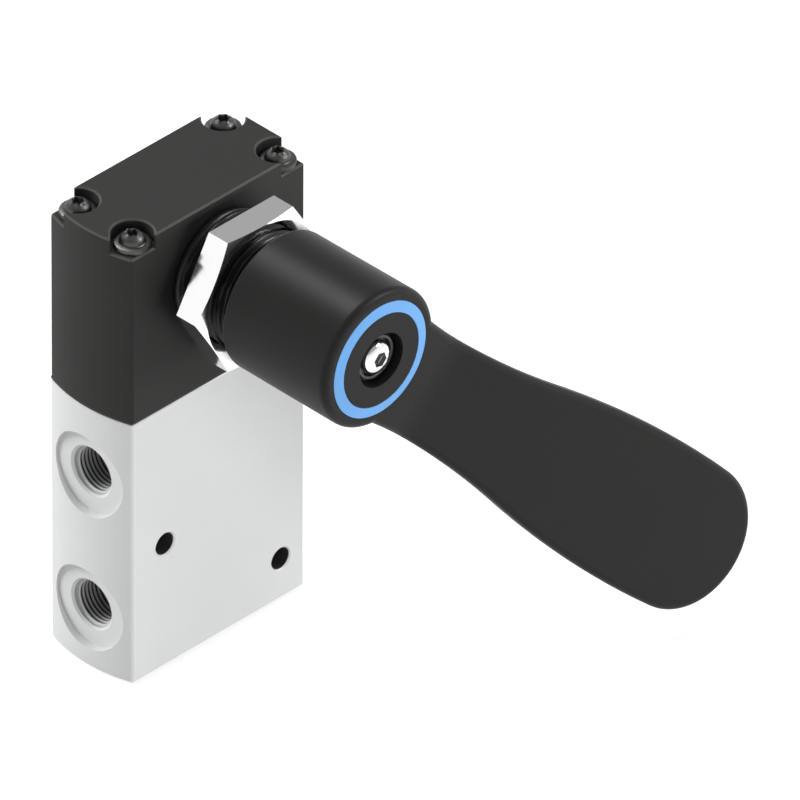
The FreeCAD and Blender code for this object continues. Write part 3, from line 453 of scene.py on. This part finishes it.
def make_threaded_neck():
    """The neck with its real thread between the run-out groove and the bevelled end."""
    outer, root, spigot, inner = NECK_RADIUS, 11.12 * MM, 10.5 * MM, 5.5 * MM
    groove, bevel = 0.7 * MM, 0.85 * MM
    first, last = FACE + 1.2 * MM, NECK_END - 0.4 * MM
    columns, rows_per_turn = 96, 12
    place = forward_axis()

    def thread_radius(height, angle):
        """Radius of the thread's flank at a height and direction."""
        phase = ((height - first) / NECK_PITCH - angle / TAU) % 1.0
        ridge = 1.0 - abs(phase - 0.5) * 2.0
        reach = root + (outer - root) * min(1.0, max(0.0, (ridge - 0.08) / 0.8))
        fade = min(1.0, (height - first) / (NECK_PITCH * 0.7))
        end_bevel = outer - bevel + max(0.0, NECK_END - height)
        return min(reach * fade + outer * (1.0 - fade), end_bevel)

    back = -neck_high.y
    profile = [
        (inner, back),
        (spigot, back),
        (spigot, FACE),
        (outer - groove, FACE),
        (outer - groove, FACE + 0.3 * MM),
        (outer - 0.15 * MM, FACE + 0.62 * MM),
        (outer, FACE + 0.75 * MM),
        (outer, FACE + 0.98 * MM),
        (outer - 0.08 * MM, first),
    ]
    rings = lathe_rings(profile, columns, place)
    rows = int((last - first) / (NECK_PITCH / rows_per_turn))
    for row in range(1, rows + 1):
        height = first + (last - first) * row / rows
        rings.append(level_ring(columns, place, partial(thread_radius, height), height))
    rings += lathe_rings([(outer - bevel, NECK_END), (inner, NECK_END)], columns, place)
    mesh_data = bmesh.new()
    bridge(mesh_data, rings, hollow=True)
    finish_piece(
        "threaded_neck",
        mesh_data,
        "valve",
        "black_neck",
        replaced=["panel_neck"],
        smooth_angle=35,
    )


def make_panel_nut():
    """Hexagon nut whose front is bevelled all round, so that its flats end in arcs."""
    low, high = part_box("panel_nut")
    back, outline = -high.y, hexagonal((high.z - low.z) / 2)
    front, bore, countersink = back + 5.55 * MM, NECK_RADIUS + 0.05 * MM, 0.6 * MM
    face, slope = 14.1 * MM, math.tan(math.radians(16))
    flat_on_top = Matrix.Rotation(math.radians(30), 4, "Z")
    place = forward_axis() @ flat_on_top
    columns, bevel_steps = 144, 4

    def bevel_reach(share, angle):
        return outline(angle) * (1.0 - share) + face * share

    def bevel_height(share, angle):
        return front - (bevel_reach(share, angle) - face) * slope

    rings = lathe_rings([(bore + countersink, back), (outline, back)], columns, place)
    for step in range(bevel_steps + 1):
        share = step / bevel_steps
        reach_at = partial(bevel_reach, share)
        height_at = partial(bevel_height, share)
        rings.append(make_ring(columns, place, reach_at, height_at))
    inside = [(bore + countersink, front), (bore, front - countersink), (bore, back + countersink)]
    rings += lathe_rings(inside, columns, place)
    mesh_data = bmesh.new()
    bridge(mesh_data, rings, hollow=True)
    finish_piece(
        "hexagon_nut",
        mesh_data,
        "valve",
        "bright_nut",
        replaced=["panel_nut"],
        smooth_angle=12,
    )


# Screws

WASHER_SEAT = 1.3 * MM  # where the lever screw's head sits above the recess's floor
WASHER_FLOOR = 0.5 * MM
WASHER_RIM = 1.6 * MM
SCREW_COLUMNS = 72
SCREW_SMOOTHING = 38  # degrees between faces that still shade as one
# painted shade inside the lever screw's hexagon socket
SOCKET_SHADE_COLOUR = (0.34, 0.34, 0.34)
SOCKET_MOUTH = 1.46 * MM  # above the seat, a little below the socket's rim
SOCKET_REACH = 1.62 * MM  # a little beyond the socket's corners


def lobed(size, wave=0.16):
    """The radius of a six-lobed recess in each direction."""
    return lambda angle: size * (1.0 + wave * math.cos(6 * angle))


def hexagonal(flat):
    """The radius of a hexagon in each direction, from half its width across the flats."""

    def reach(angle):
        inside = (angle + math.radians(30)) % math.radians(60) - math.radians(30)
        return flat / math.cos(inside)

    return reach


def make_housing_screws():
    """Round-headed flanged screws with a six-lobed recess."""
    head, flange, dome, shank = 3.0 * MM, 3.5 * MM, 2.45 * MM, 1.5 * MM
    dome_foot = 1.2 * MM
    seat = screws_high.z - head
    shank_end = screws_low.z - seat
    middle = (screws_low + screws_high) / 2
    reach_x, reach_y = screws_high.x - middle.x - flange, screws_high.y - middle.y - flange
    profile = [
        (lobed(0.9 * MM), 1.5 * MM),
        (lobed(1.08 * MM), 1.7 * MM),
        (lobed(1.08 * MM), 2.78 * MM),
        (lobed(1.2 * MM, 0.15), 2.9 * MM),
    ]
    for degrees in (40, 48, 57, 66, 75, 83, 90):
        along = math.radians(degrees)
        rise = (head - dome_foot) * math.cos(along) ** 0.9
        profile.append((dome * math.sin(along), dome_foot + rise))
    profile += [
        (dome + 0.14 * MM, 1.07 * MM),
        (flange - 0.3 * MM, 1.05 * MM),
        (flange - 0.08 * MM, 0.96 * MM),
        (flange, 0.78 * MM),
        (flange, 0.16 * MM),
        (flange - 0.14 * MM, 0.0),
        (shank, 0.0),
        (shank, shank_end + 0.5 * MM),
        (shank - 0.4 * MM, shank_end),
    ]
    mesh_data = bmesh.new()
    for side_x in (-1, 1):
        for side_y in (-1, 1):
            spot = (middle.x + side_x * reach_x, middle.y + side_y * reach_y, seat)
            spin = Matrix.Rotation(0.4 + 0.7 * side_x + 0.3 * side_y, 4, "Z")
            rings = lathe_rings(profile, SCREW_COLUMNS, Matrix.Translation(spot) @ spin)
            bridge(mesh_data, rings)
    finish_piece(
        "housing_screw_heads",
        mesh_data,
        "valve",
        "dark_steel",
        replaced=["housing_screws"],
        smooth_angle=SCREW_SMOOTHING,
    )


def make_cup_washer(place):
    """A cup whose thin rim stands round the screw's head, with a raised seat in its middle."""
    hole, seat, rim_in, rim_out = 2.15 * MM, 3.0 * MM, 3.88 * MM, 4.45 * MM
    edge = 0.06 * MM
    profile = [
        (hole, 0.0),
        (rim_out, 0.0),
        (rim_out, WASHER_RIM - edge),
        (rim_out - edge, WASHER_RIM),
        (rim_in + edge, WASHER_RIM),
        (rim_in, WASHER_RIM - edge),
        (rim_in - edge, WASHER_FLOOR),
        (seat, WASHER_FLOOR),
        (seat, WASHER_SEAT),
        (hole, WASHER_SEAT),
    ]
    mesh_data = bmesh.new()
    bridge(mesh_data, lathe_rings(profile, SCREW_COLUMNS, place), hollow=True)
    finish_piece(
        "lever_cup_washer",
        mesh_data,
        "lever",
        "dark_steel",
        replaced=["lever_washer"],
        smooth_angle=SCREW_SMOOTHING,
    )


def make_lever_screw(place):
    """Domed screw with a hexagon socket."""
    socket = hexagonal(1.35 * MM)
    profile = [
        (hexagonal(0.3 * MM), 0.35 * MM),
        (hexagonal(1.2 * MM), 0.45 * MM),
        (socket, 0.6 * MM),
        (socket, 1.5 * MM),
        (hexagonal(1.43 * MM), 1.56 * MM),
        (1.75 * MM, 1.53 * MM),
        (2.1 * MM, 1.44 * MM),
        (2.5 * MM, 1.3 * MM),
        (2.9 * MM, 1.05 * MM),
        (3.18 * MM, 0.75 * MM),
        (3.33 * MM, 0.42 * MM),
        (3.35 * MM, 0.1 * MM),
        (3.27 * MM, 0.0),
        (2.0 * MM, 0.0),
        (2.0 * MM, -8.0 * MM),
        (1.6 * MM, -8.5 * MM),
    ]
    mesh_data = bmesh.new()
    bridge(mesh_data, lathe_rings(profile, SCREW_COLUMNS, place))
    finish_piece(
        "lever_screw_head",
        mesh_data,
        "lever",
        "bright_steel",
        replaced=["lever_screw"],
        smooth_angle=SCREW_SMOOTHING,
    )


def paint_socket_shade(material, floor):
    """Paints shade, as a grey, inside the lever screw's socket."""
    mouth = (0.0, floor - WASHER_SEAT - SOCKET_MOUTH, AXIS_HEIGHT)
    away, along = from_axis(material, mouth, (0.0, -1.0, 0.0))
    below = math_node(material, "LESS_THAN", along, 0.0)
    inside = math_node(material, "LESS_THAN", away, SOCKET_REACH)
    darken(material, math_node(material, "MULTIPLY", inside, below), SOCKET_SHADE_COLOUR)


def make_lever_fittings():
    """The screw that holds the lever, on its washer in the hub's recess."""
    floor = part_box("lever_washer")[1].y
    place = forward_axis() @ Matrix.Translation((0, 0, -floor))
    make_cup_washer(place)
    seat = Matrix.Translation((0, 0, WASHER_SEAT)) @ Matrix.Rotation(0.3, 4, "Z")
    make_lever_screw(place @ seat)
    # painted shade inside the socket
    paint_socket_shade(finishes["bright_steel"], floor)


# Springs


def make_spring(node, centre, wire, radius, turns, squashed=False):
    """A round-wire compression spring as long as its node, with its ends closed. One that is
    squashed gets a mesh of its own, not shared with other pieces."""
    low, high = (corner.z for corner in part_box(node))
    columns, sides, closed = 28, 10, 0.9
    total = turns + closed * 2
    rise = high - low - wire * 3
    steps = int(total * columns)
    rings = []
    for step in range(steps + 1):
        turn = total * step / steps
        angle = TAU * turn
        share = min(1.0, max(0.0, (turn - closed) / turns))
        ends = wire * (min(turn, closed) + max(0.0, turn - closed - turns)) / closed
        height = low + wire / 2 + ends + rise * share
        middle = Vector((*centre, height))
        outward = Vector((math.cos(angle), math.sin(angle), 0))
        ring = []
        for side in range(sides):
            turned = TAU * side / sides
            out = radius + wire / 2 * math.cos(turned)
            ring.append(middle + outward * out + Vector((0, 0, wire / 2 * math.sin(turned))))
        rings.append(ring)
    mesh_data = bmesh.new()
    bridge(mesh_data, rings)
    spring = finish_piece(
        f"{node}_coil",
        mesh_data,
        "valve",
        "spring_steel",
        replaced=[node],
        smooth_angle=60,
    )
    if squashed:
        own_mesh(spring)


def make_springs():
    spool_axis = (0, 0)
    low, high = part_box("detent_spring")
    middle = (low + high) / 2
    ball_axis = (middle.x, middle.y)
    make_spring("spool_spring", spool_axis, 0.55 * MM, 1.9 * MM, 4.5, squashed=True)
    make_spring("tappet_spring", spool_axis, 0.8 * MM, 4.5 * MM, 3.2, squashed=True)
    make_spring("detent_spring", ball_axis, 0.32 * MM, 1.0 * MM, 4.0)


# Studio

FLOOR_COLOUR = 0.42  # grey, so that it throws little light up on the object
FLOOR_LIFT = 0.77  # how much whiter the floor looks than the light makes it
SOFT_LIGHT = 0.136  # strength of the light from all round
CEILING = 0.38  # brightness of the ceiling in reflections
CEILING_RISE = (0.24, 0.5)  # heights of direction between which the white horizon ends


def aim_camera():
    """The photograph's view: from the left front and above, from far away."""
    azimuth, elevation, roll = math.radians(-45.11), math.radians(35.594), 0.0054
    distance, aside, above = 5.1336, 0.040704, 0.038469
    back = Vector(
        (
            math.sin(azimuth) * math.cos(elevation),
            -math.cos(azimuth) * math.cos(elevation),
            math.sin(elevation),
        )
    )
    right = (-back).cross(Vector((0, 0, 1))).normalized()
    up = right.cross(-back)
    level_right = right * math.cos(roll) + up * math.sin(roll)
    level_up = up * math.cos(roll) - right * math.sin(roll)
    place = back * distance + level_right * aside + level_up * above
    camera = bpy.data.objects.new("camera", bpy.data.cameras.new("camera"))
    turned = Matrix((level_right, level_up, back)).transposed().to_4x4()
    camera.matrix_world = Matrix.Translation(place) @ turned
    camera.data.sensor_width = 36.0
    camera.data.lens = 1260.3
    camera.data.clip_start = 0.1
    camera.data.clip_end = 50.0
    bpy.context.scene.collection.objects.link(camera)
    bpy.context.scene.camera = camera


def add_lamp(name, place, target, size, power, lights):
    """A rectangular lamp that lights only the diffuse or only the glossy side of a material."""
    lamp = bpy.data.lights.new(name, "AREA")
    lamp.shape = "RECTANGLE"
    lamp.size, lamp.size_y = size
    lamp.energy = power
    item = bpy.data.objects.new(name, lamp)
    item.location = place
    item.rotation_euler = (Vector(target) - Vector(place)).to_track_quat("-Z", "Y").to_euler()
    item.visible_glossy = lights != "diffuse"
    item.visible_diffuse = lights != "glossy"
    item.visible_camera = False
    bpy.context.scene.collection.objects.link(item)


def ray_is(tree, first, *others):
    """A socket that is 1 for the rays of the kinds named and 0 for all the rest."""
    rays = tree.nodes.new("ShaderNodeLightPath")
    chosen = rays.outputs[first]
    for name in others:
        either = tree.nodes.new("ShaderNodeMath")
        either.operation = "MAXIMUM"
        tree.links.new(chosen, either.inputs[0])
        tree.links.new(rays.outputs[name], either.inputs[1])
        chosen = either.outputs[0]
    return chosen


def mix_shaders(tree, amount, first, second):
    mix = tree.nodes.new("ShaderNodeMixShader")
    for number, source in enumerate((amount, first, second)):
        tree.links.new(source, mix.inputs[number])
    return mix.outputs[0]


def floor_material():
    """White to the eye except where the object's shadow falls."""
    material = new_material("floor_white", (FLOOR_COLOUR,) * 3, 0.9)
    shader = material.node_tree.nodes["Principled BSDF"]
    shader.inputs["Emission Color"].default_value = (1.0, 1.0, 1.0, 1.0)
    lift = add_node(material, "ShaderNodeMath", operation="MULTIPLY")
    lift.inputs[1].default_value = FLOOR_LIFT
    seen = ray_is(material.node_tree, "Is Camera Ray", "Is Glossy Ray", "Is Transmission Ray")
    link(material, seen, lift.inputs[0])
    link(material, lift.outputs[0], shader.inputs["Emission Strength"])
    return material


def make_floor():
    """A plain pale floor that keeps the shadow and shows white around it."""
    mesh_data = bmesh.new()
    bmesh.ops.create_grid(mesh_data, x_segments=1, y_segments=1, size=6.0)
    mesh = bpy.data.meshes.new("floor")
    mesh_data.to_mesh(mesh)
    mesh_data.free()
    floor = bpy.data.objects.new("floor", mesh)
    floor.location = (0, 0, -0.0005)
    mesh.materials.append(floor_material())
    bpy.context.scene.collection.objects.link(floor)


def light_world():
    """Soft light from all round. The camera sees white, and reflections see a white
    horizon under a grey ceiling."""
    world = bpy.data.worlds.new("studio")
    world.use_nodes = True
    bpy.context.scene.world = world
    tree = world.node_tree
    tree.nodes.clear()
    place = tree.nodes.new("ShaderNodeTexCoord")
    parts = tree.nodes.new("ShaderNodeSeparateXYZ")
    tree.links.new(place.outputs["Generated"], parts.inputs[0])
    rise = tree.nodes.new("ShaderNodeMapRange")
    rise.interpolation_type = "SMOOTHSTEP"
    rise.inputs["From Min"].default_value, rise.inputs["From Max"].default_value = CEILING_RISE
    rise.inputs["To Min"].default_value = 1.0
    rise.inputs["To Max"].default_value = CEILING
    tree.links.new(parts.outputs["Z"], rise.inputs["Value"])
    soft_light, mirrored, white = (tree.nodes.new("ShaderNodeBackground") for _ in range(3))
    for background, strength in ((soft_light, SOFT_LIGHT), (mirrored, 1.0), (white, 1.0)):
        background.inputs["Color"].default_value = (1.0, 1.0, 1.0, 1.0)
        background.inputs["Strength"].default_value = strength
    tree.links.new(rise.outputs["Result"], mirrored.inputs["Strength"])
    in_mirror = ray_is(tree, "Is Glossy Ray")
    in_view = ray_is(tree, "Is Camera Ray", "Is Transmission Ray")
    lit = mix_shaders(tree, in_mirror, soft_light.outputs[0], mirrored.outputs[0])
    seen = mix_shaders(tree, in_view, lit, white.outputs[0])
    output = tree.nodes.new("ShaderNodeOutputWorld")
    tree.links.new(seen, output.inputs["Surface"])


def light_scene():
    light_world()
    middle = (0.0, 0.0, 0.05)
    add_lamp("front", (0.1, -1.5, 0.2), middle, (1.2, 0.5), 14.3, "diffuse")
    add_lamp("front_right", (0.42, -0.38, 0.12), middle, (0.3, 0.2), 1.1, "diffuse")
    add_lamp("left_back", (-0.7, 1.2, 0.6), middle, (0.7, 0.7), 22.0, "diffuse")
    add_lamp("top", (0.2, 0.1, 1.5), middle, (0.9, 0.9), 11.0, "diffuse")
    add_lamp("edges", (0.75, -0.75, 0.8), (0.0, 0.0, 0.09), (0.4, 0.4), 8.0, "glossy")
    add_lamp("band", (0.08, 0.7, 1.0), (0.0, -0.03, 0.08), (0.4, 0.4), 8.0, "glossy")


aim_camera()
dress_nodes()
for item in frame["nodes"].values():
    shade(item, angle=28)
make_port_threads()
make_threaded_neck()
make_panel_nut()
make_housing_screws()
make_lever_fittings()
make_springs()
make_floor()
light_scene()
bpy.context.scene.view_settings.view_transform = "Standard"
